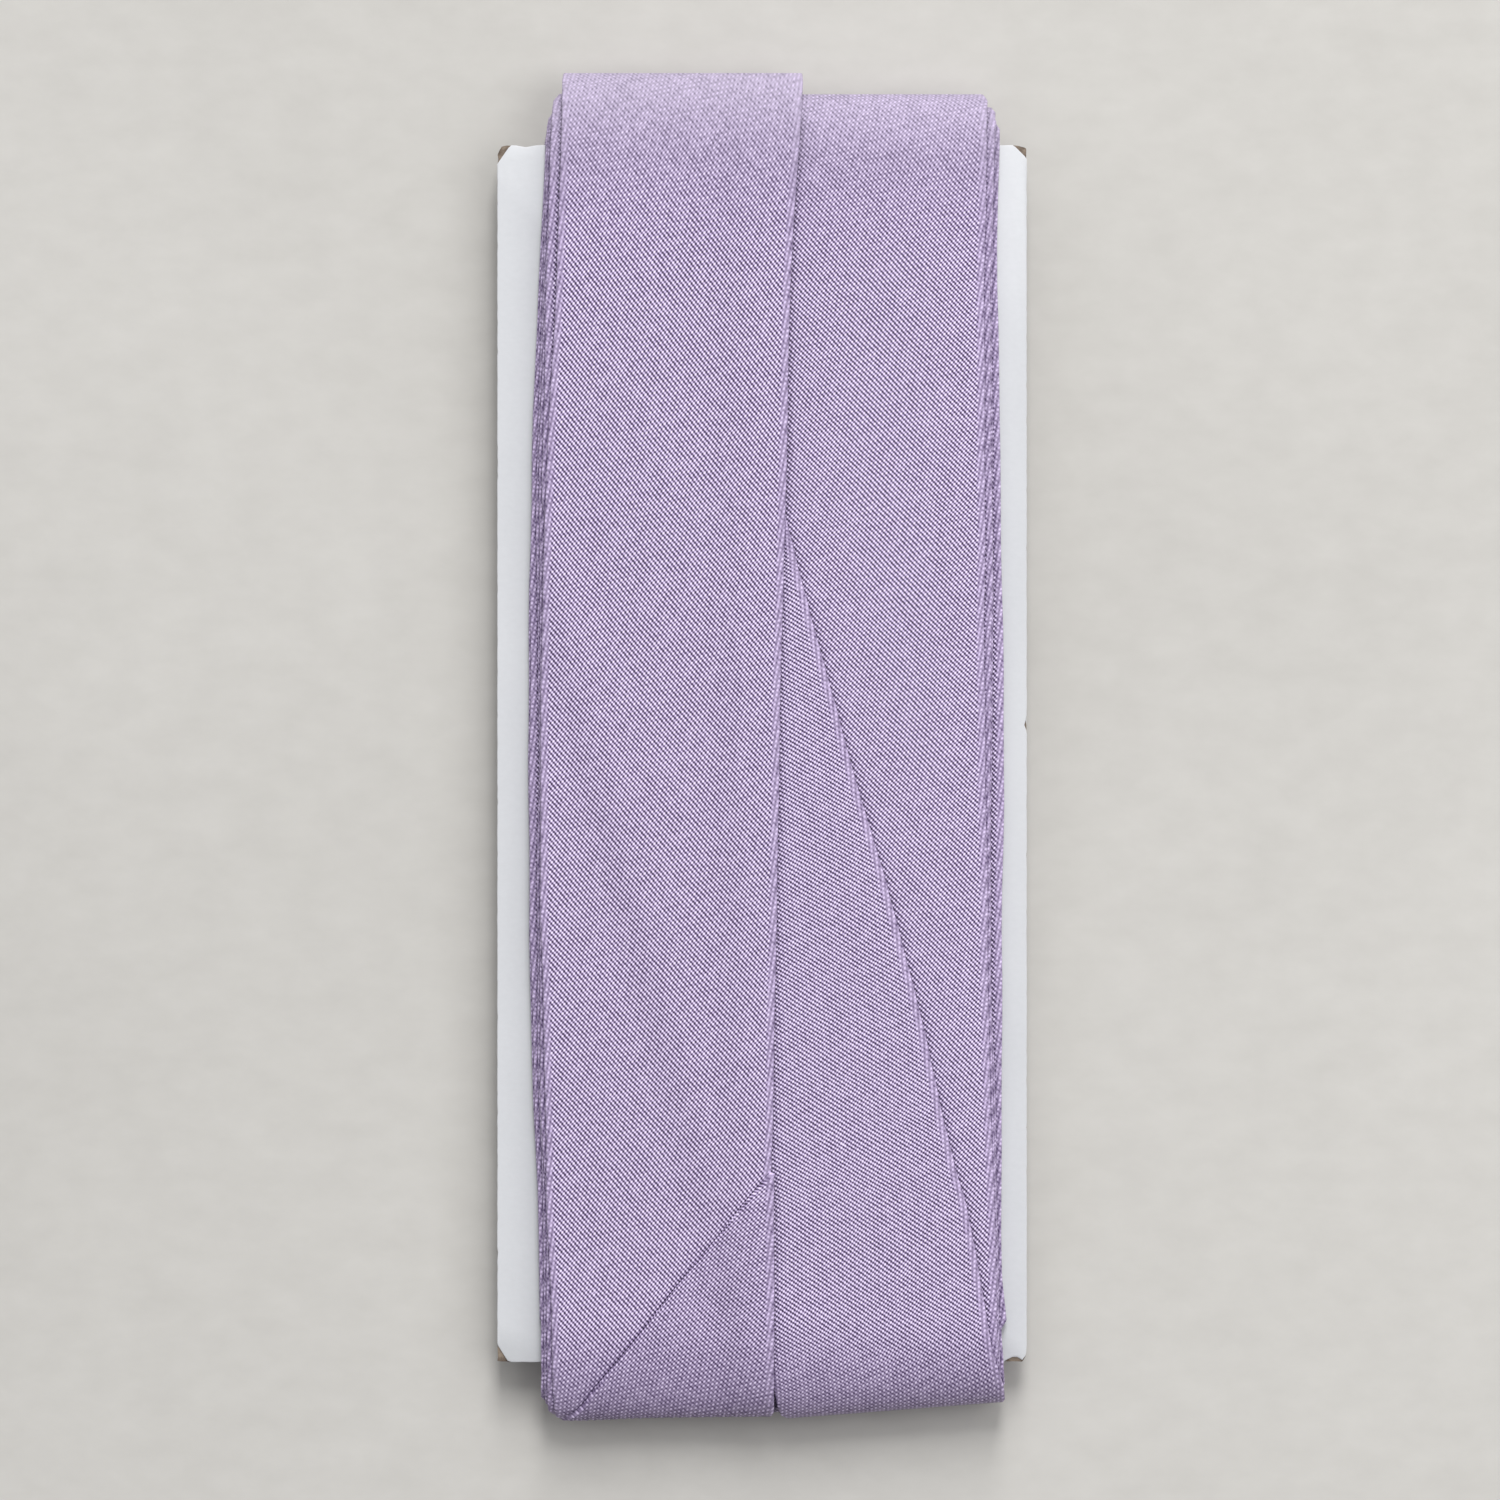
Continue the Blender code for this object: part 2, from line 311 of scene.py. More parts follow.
# The loops in the order of the turns. The first turn starts on the front, with none at its foot.
FOOT_LOOPS = (
    None,
    Loop(0.0040, 0.0040, 0.0007, 0.0004),
    Loop(0.0046, 0.0046, 0.0007, 0.0004),
    Loop(0.0053, 0.0053, 0.0007, 0.0004),
    Loop(0.0024, 0.0020, 0.0004, 0.0003),
    Loop(0.0032, 0.0026, 0.0004, 0.0003),
    Loop(0.0039, 0.0030, 0.0004, 0.0003),
    Loop(0.0045, 0.0034, 0.0004, 0.0003),
    Loop(0.0051, 0.0038, 0.0004, 0.0002),
    Loop(0.0057, 0.0040, 0.0008, 0.0002),
    Loop(0.0058, 0.0055, 0.0004, 0.0003),
)
HEAD_LOOPS = (
    Loop(0.0027, 0.0027, 0.0014, 0.0005),
    Loop(0.0035, 0.0035, 0.0014, 0.0005),
    Loop(0.0039, 0.0039, 0.0013, 0.0005),
    Loop(0.0044, 0.0046, 0.0013, 0.0004),
    Loop(0.0013, 0.0013, 0.0004, 0.0005),
    Loop(0.0023, 0.0022, 0.0004, 0.0006),
    Loop(0.0031, 0.0030, 0.0004, 0.0006),
    Loop(0.0040, 0.0038, 0.0004, 0.0006),
    Loop(0.0052, 0.0052, 0.0004, 0.0008),
    Loop(0.0053, 0.0057, 0.0012, 0.0004),
    Loop(0.0074, 0.0074, 0.0003, 0.0003),
)

# One turn of the winding: the loop that leads in at the foot, the strap up the front, the
# loop over the head and the strap down the back. Layers are counted out from the card.
Turn = namedtuple("Turn", "foot front layer head back back_layer")
FRONT_LAYERS = (0, 1, 2, 3, 0, 1, 2, 3, 4, 4, 4)
BACK_LAYERS = (0, 1, 2, 3, 1, 2, 3, 4, 5, 4, 5)

# Turns by their number in the winding
CROSSING_TURN = 3
RIGHT_TOP_TURN = 8


def smooth(places, values, at):
    """A curve through the values that never overshoots them, level past either end."""
    steps = np.diff(places)
    rises = np.diff(values) / steps
    product = rises[:-1] * rises[1:]
    total = np.where(product > 0, rises[:-1] + rises[1:], 1)
    inner = np.where(product > 0, 2 * product / total, 0)
    slopes = np.concatenate(([rises[0]], inner, [rises[-1]]))
    index = np.clip(np.searchsorted(places, at) - 1, 0, len(steps) - 1)
    share = np.clip((at - places[index]) / steps[index], 0, 1)
    rest = 1 - share
    start = values[index] * (1 + 2 * share) * rest ** 2
    end = values[index + 1] * (1 + 2 * rest) * share ** 2
    leave = slopes[index] * steps[index] * share * rest ** 2
    arrive = slopes[index + 1] * steps[index] * share ** 2 * rest
    return start + end + leave - arrive


def soft_step(share):
    """0 up to share 0, 1 from share 1, and smooth between."""
    held = np.clip(share, 0, 1)
    return held * held * (3 - 2 * held)


def columns_of(rows):
    """A table's columns as arrays."""
    return [np.array(column, float) for column in zip(*rows)]


class Strap:
    """A strap's two edges as functions of y, with the slight waver of winding by hand."""

    def __init__(self, ys, lefts, rights, rng, waver=WAVER):
        self.ys = ys
        self.lefts = lefts
        self.rights = rights
        self.waver = waver
        self.phases = rng.uniform(0, 2 * math.pi, 2 * len(RIPPLES))

    def wave(self, y, first):
        """The waver of one edge, from its first phase on."""
        pairs = zip(RIPPLES, self.phases[first:])
        return self.waver * sum(ripple.share * np.sin(y / ripple.run + phase) for ripple, phase in pairs)

    def edges(self, y):
        """Left and right edge at y."""
        left = smooth(self.ys, self.lefts, y) + self.wave(y, 0)
        right = smooth(self.ys, self.rights, y) + self.wave(y, len(RIPPLES))
        return left, right


def full_strap(rows, rng, waver=WAVER):
    """A strap from a table with both of its edges."""
    ys, lefts, rights = columns_of(rows)
    return Strap(ys, lefts, rights, rng, waver)


def left_strap(edge_rows, shift, rng):
    """A strap of the left column, from its outer edge."""
    ys, lefts = columns_of(edge_rows)
    line = smooth(*columns_of(COLUMN_LINE), ys)
    lefts = lefts + shift
    return Strap(ys, lefts, np.minimum(lefts + TAPE_WIDTH, line - COLUMN_GAP), rng)


def right_strap(edge_rows, shift, rng):
    """A strap of the right column, from its outer edge."""
    ys, rights = columns_of(edge_rows)
    line = smooth(*columns_of(COLUMN_LINE), ys)
    rights = rights + shift
    return Strap(ys, np.maximum(rights - TAPE_WIDTH, line + COLUMN_GAP), rights, rng)


def winding(rng):
    """The turns in the order in which they were wound."""
    fronts = [left_strap(edges, shift, rng) for edges, shift in LEFT_STRAPS]
    fronts += [right_strap(edges, shift, rng) for edges, shift in RIGHT_STRAPS]
    fronts += [full_strap(RIGHT_TOP_STRAP, rng), full_strap(SLANTED_STRAP, rng)]
    fronts.append(full_strap(LAST_STRAP, rng, WAVER / 2))
    left_backs = [full_strap(LEFT_BACK, rng, BACK_WAVER) for _ in range(BACKS_A_COLUMN)]
    right_backs = [full_strap(RIGHT_BACK, rng, BACK_WAVER) for _ in range(BACKS_A_COLUMN)]
    crossing = full_strap(CROSSING_BACK, rng)
    backs = left_backs[:CROSSING_TURN] + [crossing] + right_backs + left_backs[CROSSING_TURN:]
    parts = zip(FOOT_LOOPS, fronts, FRONT_LAYERS, HEAD_LOOPS, backs, BACK_LAYERS)
    return [Turn(*turn) for turn in parts]


def covered(strap, x, y):
    """1 where a strap lies underneath, falling softly to 0 past its edges."""
    left, right = strap.edges(y)
    past_left = soft_step(1 + (x - left) / DRAPE_RUN)
    return past_left * soft_step(1 + (right - x) / DRAPE_RUN)


def unevenness(x, y):
    """The slight rise and fall of the whole stack."""
    swells = sum(np.sin(x / swell.run_x + y / swell.run_y + swell.phase) for swell in SWELLS)
    dimples = DIMPLE_SHARE * np.sin(y / DIMPLE_RUN_Y + DIMPLE_PHASE_Y)
    return UNEVEN * (swells + dimples * np.sin(x / DIMPLE_RUN_X + DIMPLE_PHASE_X))


def front_height(turns, number, x, y):
    """Height of the middle of a strap's thickness on the front."""
    layers = turns[number].layer + 0.5
    for under in range(RIGHT_TOP_TURN, number):
        layers = layers + covered(turns[under].front, x, y)
    return FRONT_BASE + LAYER * layers + unevenness(x, y)


def back_height(turns, number, x):
    """Height of the middle of a strap's thickness on the back."""
    layers = turns[number].back_layer + 0.5
    if number == CROSSING_TURN:
        layers = layers - turns[number].back_layer * soft_step((x - CROSSING_START) / CROSSING_RUN)
    return BACK_BASE - BACK_LAYER * layers * np.ones_like(x)


def section():
    """The folded tape's closed section, clockwise from its left edge on the outer face.

    Each point has its share of the face's width, its distance past that, its height from the
    middle of the thickness, and how far round the fold it lies: in shares and in metres.
    """
    points = []
    for share in np.linspace(0, 1, FACE_COLUMNS):
        points.append((share, 0.0, FOLD_OUTER, share - 0.5, 0.0))
    right = []
    for degrees in FOLD_DEGREES:
        angle = math.radians(degrees)
        turned = PLY_MIDDLE * (math.pi / 2 - angle)
        right.append((1.0, FOLD_OUTER * math.cos(angle), FOLD_OUTER * math.sin(angle), 0.5, turned))
    fold = PLY_MIDDLE * math.pi
    shares = np.linspace(1, 0.5, FLAP_COLUMNS)
    for share in shares:
        right.append((share, FLAP_STOP * (share == 0.5), -FOLD_OUTER, 1.5 - share, fold))
    for share in shares[::-1]:
        right.append((share, FLAP_STOP * (share == 0.5), -FOLD_INNER, 1.5 - share, fold))
    right.append((1.0, FOLD_INNER, 0.0, 0.5, fold / 2))
    points += right
    for share in np.linspace(1, 0, INNER_COLUMNS):
        points.append((share, 0.0, FOLD_INNER, share - 0.5, 0.0))
    for share, past, rise, flat_share, flat in right[::-1]:
        points.append((1 - share, -past, rise, -flat_share, -flat))
    return [np.array(column) for column in zip(*points)]


SHARE, PAST, RISE, FLAT_SHARE, FLAT = section()


def across(left, right):
    """The x of each point of the section between two edges."""
    return left + FOLD_OUTER + SHARE * (right - left - 2 * FOLD_OUTER) + PAST


def face_samples(turns, number, on_front):
    """Points of the section along one strap, up the front or down the back."""
    steps = round((TOP_Y - BOTTOM_Y) / PATH_STEP)
    y = np.linspace(BOTTOM_Y + FOOT_BEND, TOP_Y - HEAD_BEND, steps)[:, None]
    strap = turns[number].front if on_front else turns[number].back
    left, right = strap.edges(y)
    x = across(left, right)
    if on_front:
        return x, y + 0 * x, front_height(turns, number, x, y), right - left
    return x[::-1], y[::-1] + 0 * x, back_height(turns, number, x)[::-1], (right - left)[::-1]


def corner_inset(short, radius):
    """How far a rounded corner draws an edge in, at a distance short of the loop's tip."""
    depth = np.clip(radius - short, 0, radius)
    return radius - np.sqrt(radius ** 2 - depth ** 2)


def loop_samples(turns, front_number, back_number, at_head):
    """Points of the section round an end of the card, from the strap before to the one after."""
    loop = turns[back_number].head if at_head else turns[front_number].foot
    end = TOP_Y - HEAD_BEND if at_head else BOTTOM_Y + FOOT_BEND
    bend = HEAD_BEND if at_head else FOOT_BEND
    outward = 1 if at_head else -1
    angle = np.linspace(0, math.pi, LOOP_SAMPLES)[1:-1, None]
    reach_middle = bend + (loop.reach_left + loop.reach_right) / 2
    y_middle = end + outward * reach_middle * np.sin(angle)
    to_back = (1 - np.cos(angle)) / 2
    # It keeps to the front strap's edges for three quarters of the way round
    on_back = soft_step(4 * angle / math.pi - 3)
    front_left, front_right = turns[front_number].front.edges(y_middle)
    back_left, back_right = turns[back_number].back.edges(end + 0 * y_middle)
    short = reach_middle * (1 - np.sin(angle))
    left = front_left + on_back * (back_left - front_left) + corner_inset(short, loop.corner_left)
    right = front_right + on_back * (back_right - front_right) - corner_inset(short, loop.corner_right)
    x = across(left, right)
    reach = bend + loop.reach_left + np.clip(SHARE, 0, 1) * (loop.reach_right - loop.reach_left)
    y = end + outward * reach * np.sin(angle)
    z_front = front_height(turns, front_number, x, end + 0 * x)
    z_back = back_height(turns, back_number, x)
    z = z_front + to_back * (z_back - z_front)
    if at_head:
        return x, y, z, right - left
    return x[::-1], y[::-1], z[::-1], (right - left)[::-1]


def as_seen(x, y, z):
    """Draw in what lies above the card, so that the camera sees it where the tables say."""
    nearer = 1 - np.clip(z - card_high.z, 0, None) / CAMERA_HEIGHT
    return CAMERA_X + (x - CAMERA_X) * nearer, CAMERA_Y + (y - CAMERA_Y) * nearer


def wound_path(turns):
    """The whole tape, sampled along its length, and where each stretch of it starts."""
    pieces = []
    kinds = []
    for number in range(len(turns)):
        if number > 0:
            pieces.append(loop_samples(turns, number, number - 1, False))
            kinds.append("loop")
        pieces.append(face_samples(turns, number, True))
        kinds.append("shown" if number >= RIGHT_TOP_TURN else "hidden")
        pieces.append(loop_samples(turns, number, number, True))
        kinds.append("loop")
        pieces.append(face_samples(turns, number, False))
        kinds.append("hidden")
    x, y, z, width = (np.concatenate(parts) for parts in zip(*pieces))
    counts = [len(piece[0]) for piece in pieces]
    return x, y, z, width[:, 0], counts, kinds


def along(x, y, z):
    """Distance along the tape's middle."""
    middle = FACE_COLUMNS // 2
    line = np.stack((x[:, middle], y[:, middle], z[:, middle]), axis=1)
    steps = np.linalg.norm(np.diff(line, axis=0), axis=1)
    return np.concatenate(([0.0], np.cumsum(steps)))


def stations(place, counts, kinds, seam):
    """Where along the tape the mesh has its sections."""
    step_of = {"loop": LOOP_STEP, "shown": SHOWN_STEP, "hidden": HIDDEN_STEP}
    marks = [0.0]
    first = 0
    for count, kind in zip(counts, kinds):
        start = place[first]
        first += count
        end = place[min(first, len(place) - 1)]
        pieces = max(round((end - start) / step_of[kind]), 1)
        marks += list(np.linspace(start, end, pieces + 1)[1:])
    marks = np.array(marks)
    marks = marks[marks < TAPE_LENGTH]
    near = np.abs(marks - seam) < SEAM_FADE
    fine = np.arange(seam - SEAM_FADE, seam + SEAM_FADE, SEAM_STEP)
    fine = fine[np.abs(fine - seam) > SEAM_GROOVE_CLEAR * SEAM_GROOVE_WIDTH]
    groove = seam + SEAM_GROOVE_WIDTH * np.array(SEAM_GROOVE_MARKS)
    return np.sort(np.concatenate((marks[~near], fine, groove, [TAPE_LENGTH])))


def seam_lift(distance):
    """The join's raised side, where the seam allowance lies, and its groove, deeper to the left."""
    raised = soft_step(1 + distance / SEAM_RAISE_RUN) * soft_step(0.5 - distance / SEAM_RISE_RUN)
    groove = SEAM_GROOVE * np.exp(-(distance / SEAM_GROOVE_WIDTH) ** 2)
    depth = SEAM_GROOVE_LEFT - SEAM_GROOVE_FALL * SHARE[None, :]
    return SEAM_RAISE * raised[:, None] - groove[:, None] * depth


def seam_place(y, place, counts):
    """How far along the tape the join lies: at its place on the front of the last turn."""
    last_front = sum(counts[:-3])
    on_last = slice(last_front, last_front + counts[-3])
    return float(np.interp(SEAM_Y, y[on_last, FACE_COLUMNS // 2], place[on_last]))


def lean(x, place):
    """How far the tape goes sideways for each metre of its length, smoothed."""
    even = np.ones(SLANT_SPAN) / SLANT_SPAN
    return np.convolve(np.gradient(x[:, FACE_COLUMNS // 2]) / np.gradient(place), even, mode="same")


def drifted(place):
    """Places along the tape as its threads count them, as the weave is pulled here and there."""
    return place - DRIFT * DRIFT_PERIOD / (2 * math.pi) * np.cos(2 * math.pi * place / DRIFT_PERIOD)


def laid_out(x, y, z, width, place, marks, seam):
    """The tape's middle surface at the marks, its sections slanted near the join, and its cloth."""
    face = width - 2 * FOLD_OUTER
    slant = lean(x, place)
    upright = np.sqrt(1 - slant ** 2)
    threads = drifted(place)
    nearness = np.clip(1 - np.abs(marks - seam) / SEAM_FADE, 0, 1)
    points = np.empty((len(marks), len(SHARE), 3))
    cloth = np.empty((len(marks), len(SHARE), 2))
    for j in range(len(SHARE)):
        off_middle = (SHARE[j] - 0.5) * float(np.median(face)) + PAST[j]
        eased = off_middle + SEAM_EASE * max(0.0, -off_middle - SEAM_EASE_FROM)
        wobble = SEAM_WOBBLE * math.sin(off_middle / SEAM_WOBBLE_RUN)
        at = marks + nearness * (SEAM_SLOPE * eased + wobble)
        for axis, values in enumerate((x, y, z)):
            points[:, j, axis] = np.interp(at, place, values[:, j])
        flat = FLAT_SHARE[j] * face + FLAT[j]
        cloth[:, j, 0] = np.interp(at, place, flat * upright)
        cloth[:, j, 1] = np.interp(at, place, threads + off_middle * slant)
    return points, cloth


def thickened(points, lift):
    """The points moved out from the tape's middle surface."""
    edge = points[:, FACE_COLUMNS - 1] - points[:, 0]
    ahead = np.gradient(points, axis=0)
    outward = np.cross(edge[:, None, :], ahead)
    outward /= np.linalg.norm(outward, axis=2, keepdims=True)
    return points + outward * lift[:, :, None]


def tape_points(turns):
    """Corner points of the tape's mesh, with their places in its two maps, and the seam's row.

    The first map is the cloth laid flat, for the weave. The second has how near the folds a
    point lies and how near before the join.
    """
    x, y, z, width, counts, kinds = wound_path(turns)
    x, y = as_seen(x, y, z)
    place = along(x, y, z)
    seam = seam_place(y, place, counts)
    marks = stations(place, counts, kinds, seam)
    points, cloth = laid_out(x, y, z, width, place, marks, seam)
    before = (marks < seam) * soft_step(1 + (marks - seam) / SEAM_WIDER_RUN)
    points[:, :, 0] += SEAM_WIDER * before[:, None] * SHARE ** SEAM_WIDER_POWER
    points = thickened(points, RISE[None, :] + seam_lift(marks - seam))
    band = np.stack(np.broadcast_arrays(np.abs(2 * SHARE - 1), before[:, None]), axis=-1)
    return points, cloth, band, int(np.searchsorted(marks, seam - TINY))


def add_map(mesh, name, places):
    """A UV map from a place for each corner of each face."""
    layer = mesh.uv_layers.new(name=name)
    layer.data.foreach_set("uv", places.astype(np.float32).ravel())


def finished(mesh, materials, sharp):
    """The mesh as an object in the scene, smooth but for its sharp edges."""
    for material in materials:
        mesh.materials.append(material)
    mesh.shade_smooth()
    mesh.set_sharp_from_angle(angle=sharp)
    made = bpy.data.objects.new(mesh.name, mesh)
    bpy.context.scene.collection.objects.link(made)
    return made


def make_tape(material):
    """The tape as one closed mesh, with the maps of its cloth and of its bands."""
    points, cloth, band, seam_row = tape_points(winding(np.random.default_rng(SEED)))
    rows, around = points.shape[:2]
    index = np.arange(rows * around).reshape(rows, around)
    after = np.roll(index, -1, axis=1)
    quads = np.stack((index[:-1], after[:-1], after[1:], index[1:]), axis=-1).reshape(-1, 4)
    start_cap = index[0, ::-1]
    end_cap = index[-1]
    mesh = bpy.data.meshes.new("tape")
    faces = quads.tolist() + [start_cap.tolist(), end_cap.tolist()]
    mesh.from_pydata(points.reshape(-1, 3).tolist(), [], faces)
    corners = np.concatenate((quads.ravel(), start_cap, end_cap))
    before_seam = np.zeros(len(corners), bool)
    before_seam[:seam_row * around * 4] = True
    before_seam[len(corners) - 2 * around:len(corners) - around] = True
    second = cloth.reshape(-1, 2)[corners]
    first = second * (1.0, SEAM_STRETCH) + (SEAM_SHIFT, 0.0)
    add_map(mesh, "cloth", np.where(before_seam[:, None], first, second))
    add_map(mesh, "band", band.reshape(-1, 2)[corners])
    return finished(mesh, [material], SHARP_FOLD)


# The card: grey-brown board with a white liner glued to each face
LINER = 0.00016
LINER_LIP = 0.00007
EDGE_STEP = 0.0005
CUT_ROUGHNESS = 0.00003
CORE_ROUGHNESS = 0.00007
CORE_SET_BACK = 0.00003
CORE_STEP = 0.00004
SHARP_CUT = math.radians(30)

# A cut edge's ripples: their rates in radians a step, and how far they and its grain go
JAG_RATES = (0.21, 0.47, 0.93, 1.7, 2.6)
JAG_TURN = 6.28
JAG_EASE = 2.2
JAG_GRAIN = 0.5

# Small damage: a notch at the head, a dent at the foot and a nick at the right
NOTCH_X = -0.0246
NOTCH_WIDTH = 0.0006
NOTCH_DEPTH = 0.00022
DENT_X = 0.0263
DENT_WIDTH = 0.0008
DENT_DEPTH = 0.00055
NICK_Y = 0.0031
NICK_WIDTH = 0.0005
NICK_DEPTH = 0.00022

# The card's materials by their place in its list
OF_LINER = 0
OF_CORE = 1

# How much of a corner is lost along x and along y, to the liner's face, and to the core
Corner = namedtuple("Corner", "side_x side_y liner_x liner_y core_x core_y")
CORNERS = (
    Corner(-1, 1, 0.0014, 0.0020, 0.0005, 0.0011),
    Corner(1, 1, 0.0014, 0.0014, 0.0003, 0.0005),
    Corner(-1, -1, 0.0012, 0.0019, 0.0001, 0.0002),
    Corner(1, -1, 0.0003, 0.0014, 0.0003, 0.0012),
)


def rim_points():
    """Points round the card's rectangle, anticlockwise, with the way out at each."""
    half_x = (card_high.x - card_low.x) / 2
    half_y = (card_high.y - card_low.y) / 2
    middle = ((card_high.x + card_low.x) / 2, (card_high.y + card_low.y) / 2)
    long_steps = round(2 * half_y / EDGE_STEP)
    short_steps = round(2 * half_x / EDGE_STEP)
    rising_x = np.linspace(-half_x, half_x, short_steps, endpoint=False)
    rising_y = np.linspace(-half_y, half_y, long_steps, endpoint=False)
    bottom = [(x, -half_y, 0, -1) for x in rising_x]
    right = [(half_x, y, 1, 0) for y in rising_y]
    top = [(-x, half_y, 0, 1) for x in rising_x]
    left = [(-half_x, -y, -1, 0) for y in rising_y]
    table = np.array(bottom + right + top + left, float)
    return table[:, :2], table[:, 2:], (half_x, half_y), np.array(middle)


def lose_corner(points, half, corner, lost_x, lost_y):
    """Draw the points beyond a corner's cut back onto it."""
    from_x = (half[0] - corner.side_x * points[:, 0]) / lost_x
    from_y = (half[1] - corner.side_y * points[:, 1]) / lost_y
    beyond = np.clip(1 - from_x - from_y, 0, 1) / 2
    points[:, 0] -= corner.side_x * lost_x * beyond
    points[:, 1] -= corner.side_y * lost_y * beyond


def damage(points, outward, for_liner):
    """Cut the notch into a ring of the card's edge, and into a liner's the dent and the nick too."""
    on_top = outward[:, 1] > 0
    notch = np.exp(-((points[:, 0] - NOTCH_X) / NOTCH_WIDTH) ** 2) * on_top
    points[:, 1] -= NOTCH_DEPTH * notch
    on_foot = outward[:, 1] < 0
    dent = np.exp(-((points[:, 0] - DENT_X) / DENT_WIDTH) ** 4) * on_foot * for_liner
    points[:, 1] += DENT_DEPTH * dent
    on_right = outward[:, 0] > 0
    nick = np.exp(-((points[:, 1] - NICK_Y) / NICK_WIDTH) ** 2) * on_right * for_liner
    points[:, 0] -= NICK_DEPTH * nick


def rim(rng, roughness, inset, for_liner):
    """One ring of the card's edge."""
    points, outward, half, middle = rim_points()
    count = len(points)
    place = np.arange(count)
    jag = sum(np.sin(place * rate + rng.uniform(0, JAG_TURN)) for rate in JAG_RATES)
    jag = roughness * (jag / JAG_EASE + rng.normal(0, JAG_GRAIN, count))
    points = points - outward * (inset + np.abs(jag))[:, None]
    for corner in CORNERS:
        if for_liner:
            lose_corner(points, half, corner, corner.liner_x, corner.liner_y)
        else:
            lose_corner(points, half, corner, corner.core_x, corner.core_y)
    damage(points, outward, for_liner)
    return points + middle


def card_levels():
    """The card's rings from its top face down: each with its height and the material below it."""
    rng = np.random.default_rng(SEED + 1)
    top = card_high.z
    foot = card_low.z
    face = rim(rng, CUT_ROUGHNESS, 0.0, True)
    body = rim(rng, CORE_ROUGHNESS, CORE_SET_BACK, False)
    under = rim(rng, CUT_ROUGHNESS, 0.0, False)
    middle = face.mean(axis=0)
    lip = middle + (face - middle) * (1 - LINER_LIP / (card_high.x - middle[0]))
    return (
        (lip, top, OF_LINER),
        (face, top - LINER_LIP, OF_LINER),
        (face, top - LINER, OF_CORE),
        (body, top - LINER - CORE_STEP, OF_CORE),
        (body, foot + LINER, OF_LINER),
        (under, foot + LINER, OF_LINER),
        (under, foot, OF_LINER),
    )


def make_card(liner, core):
    """The board between its liners, with rough-cut edges and crushed corners."""
    levels = card_levels()
    count = len(levels[0][0])
    points = [(x, y, height) for ring, height, kind in levels for x, y in ring]
    faces = [list(range(count))]
    kinds = [OF_LINER]
    for number, (ring, height, kind) in enumerate(levels[:-1]):
        base = number * count
        for step in range(count):
            after = (step + 1) % count
            faces.append([base + step, base + step + count, base + after + count, base + after])
            kinds.append(kind)
    faces.append([len(points) - 1 - step for step in range(count)])
    kinds.append(OF_LINER)
    mesh = bpy.data.meshes.new("card_board")
    mesh.from_pydata(points, [], faces)
    board = finished(mesh, [liner, core], SHARP_CUT)
    mesh.polygons.foreach_set("material_index", kinds)
    return board


# The cotton's threads: coarse ones one way and fine ones across them, each a little astray
COARSE_ANGLE = math.radians(41)
FINE_ANGLE = math.radians(40)
COARSE_PITCH = 0.000411
FINE_PITCH = 0.000271
ASTRAY = 0.7
COARSE_ASTRAY_SCALE = 160.0
FINE_ASTRAY_SCALE = 230.0

# Its colours, by tone: the darkest stand partly for painted shade in the weave's gaps, the palest partly
# for a painted highlight on the threads' tops
LILAC_GAP = (0.020, 0.010, 0.040, 1.0)
LILAC_LOW = (0.092, 0.055, 0.153, 1.0)
LILAC_MIDDLE = (0.330, 0.264, 0.423, 1.0)
LILAC_HIGH = (0.607, 0.494, 0.756, 1.0)
LILAC_TOP = (0.820, 0.735, 0.935, 1.0)
LILAC_TONES = (
    (0.10, LILAC_GAP),
    (0.35, LILAC_LOW),
    (0.60, LILAC_MIDDLE),
    (0.85, LILAC_HIGH),
    (1.0, LILAC_TOP),
)
TONE_MIDDLE = 0.60
# Painted sheen: the cloth turns greyer where it turns over the card's head, towards the lamp
LILAC_SHEEN_GREY = (0.345, 0.350, 0.335, 1.0)
HEAD_SHEEN_SHARE = 0.32

# How much its threads, their crossings and what is off the rule change the tone
# The two thread waves darken the gaps between the threads: partly painted shade
COARSE_WAVE = 0.36
FINE_WAVE = 0.21
# The crowns: painted light and shade on the threads' crowns as the lamp falls on them, partly the yarns'
# own twist
CROWN = 0.10
CROWN_WHERE_FADED = 0.03
CROSS_WAVE = 0.04
# Painted highlight on the thread crossings where the cloth turns under the card's foot
FOOT_CROSSING_HIGHLIGHT = 0.38
FOOT_CROSSING_HIGHLIGHT_MEAN = 0.20
CROSSING_CHANCE = 0.13
THREAD_CHANCE = 0.26
FIBRE_SHARE = 0.06
CLOUD_SHARE = 0.02
SLUB_SHARE = 0.04
FLECK_SHARE = 0.20

# Its noises: how they are drawn out with the threads, and how fine they are
FIBRE_ACROSS = 2.2
FIBRE_ALONG = 0.35
FIBRE_SCALE = 1.0
FIBRE_DETAIL = 3.0
FIBRE_ROUGHNESS = 0.6
FLAW_DETAIL = 1.0
SLUB_ALONG = 0.09
SLUB_SCALE = 0.55
SLUB_FROM = 0.66
SLUB_TO = 0.80
FLECK_ACROSS = 0.5
FLECK_ALONG = 0.22
FLECK_SCALE = 0.8
FLECK_FROM = 0.76
FLECK_TO = 0.84
CLOUD_SCALE = 220.0
CLOUD_DETAIL = 3.0

